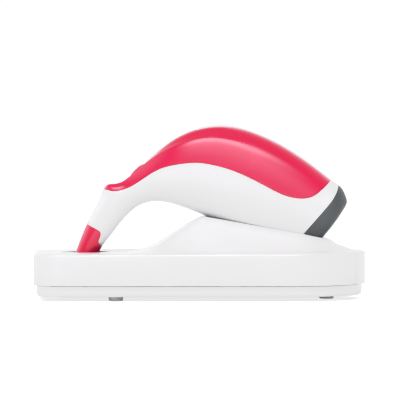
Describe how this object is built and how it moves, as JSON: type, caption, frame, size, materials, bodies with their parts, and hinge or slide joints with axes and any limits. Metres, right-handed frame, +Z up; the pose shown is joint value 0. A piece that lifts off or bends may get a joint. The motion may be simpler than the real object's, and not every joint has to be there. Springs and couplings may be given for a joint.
{
  "type": "dental shade meter",
  "caption": "Handheld dental shade meter with a bent neck, docked nose-down in a calibration well on its charging base.",
  "frame": {"origin": "on the floor under the middle of the base's footprint", "axes": "+Z up, +X from the tip end to the rear cap end, +Y to the side with the power socket"},
  "size_m": [0.1946, 0.097, 0.1019],
  "materials": {
    "white_gloss": "polished",
    "red_gloss": "polished",
    "grey_satin": "satin",
    "dark_plastic": "satin",
    "frame_plastic": "matte",
    "glass_black": "polished",
    "ceramic": "glazed",
    "rubber": "matte",
    "board_green": "solder mask",
    "steel": "satin",
    "aluminium": "satin",
    "copper": "wound wire",
    "cell_sleeve": "shrink sleeve"
  },
  "bodies": {
    "base": {"base_housing": "white_gloss", "base_tray": "white_gloss", "well_insert": "dark_plastic", "ballast_plate": "steel", "charging_board": "board_green", "power_socket": "dark_plastic", "foot_1": "rubber", "foot_2": "rubber", "foot_3": "rubber", "tray_screw_1": "steel", "tray_screw_2": "steel", "tray_screw_3": "steel", "tray_screw_4": "steel", "charging_coil": "copper", "carrier_spring": "steel"},
    "handpiece": {"body_shell": "white_gloss", "top_cover": "red_gloss", "tip_collar": "red_gloss", "rear_cap": "grey_satin", "button_switch": "dark_plastic", "display_module": "dark_plastic", "fibre_bundle": "dark_plastic", "sensor_block": "dark_plastic", "inner_frame": "frame_plastic", "battery_cradle": "frame_plastic", "fibre_splitter": "frame_plastic", "display_window": "glass_black", "probe_window": "glass_black", "main_board": "board_green", "button_board": "board_green", "probe_tube": "steel", "battery_contact_front": "steel", "battery_contact_rear": "steel", "board_screw_1": "steel", "board_screw_2": "steel", "board_screw_3": "steel", "board_screw_4": "steel", "lamp_block": "aluminium", "heat_sink": "aluminium", "receiving_coil": "copper", "battery_cell": "cell_sleeve"},
    "measure_button": {"measure_button": "red_gloss"},
    "tile_carrier": {"tile_carrier": "dark_plastic", "calibration_tile": "ceramic"}
  },
  "joints": [
    {"name": "handpiece_lift", "type": "slide", "parent": "base", "child": "handpiece", "axis": [0.4226, 0, 0.9063], "range_m": [0, 0.08]},
    {"name": "measure_button_press", "type": "slide", "parent": "handpiece", "child": "measure_button", "axis": [0.6691, 0, -0.7431], "range_m": [0, 0.0008], "stiffness_N_per_m": 2000},
    {"name": "tile_carrier_press", "type": "slide", "parent": "base", "child": "tile_carrier", "axis": [-0.4226, 0, -0.9063], "range_m": [0, 0.0015], "stiffness_N_per_m": 1000, "deforming": ["carrier_spring"]}
  ]
}
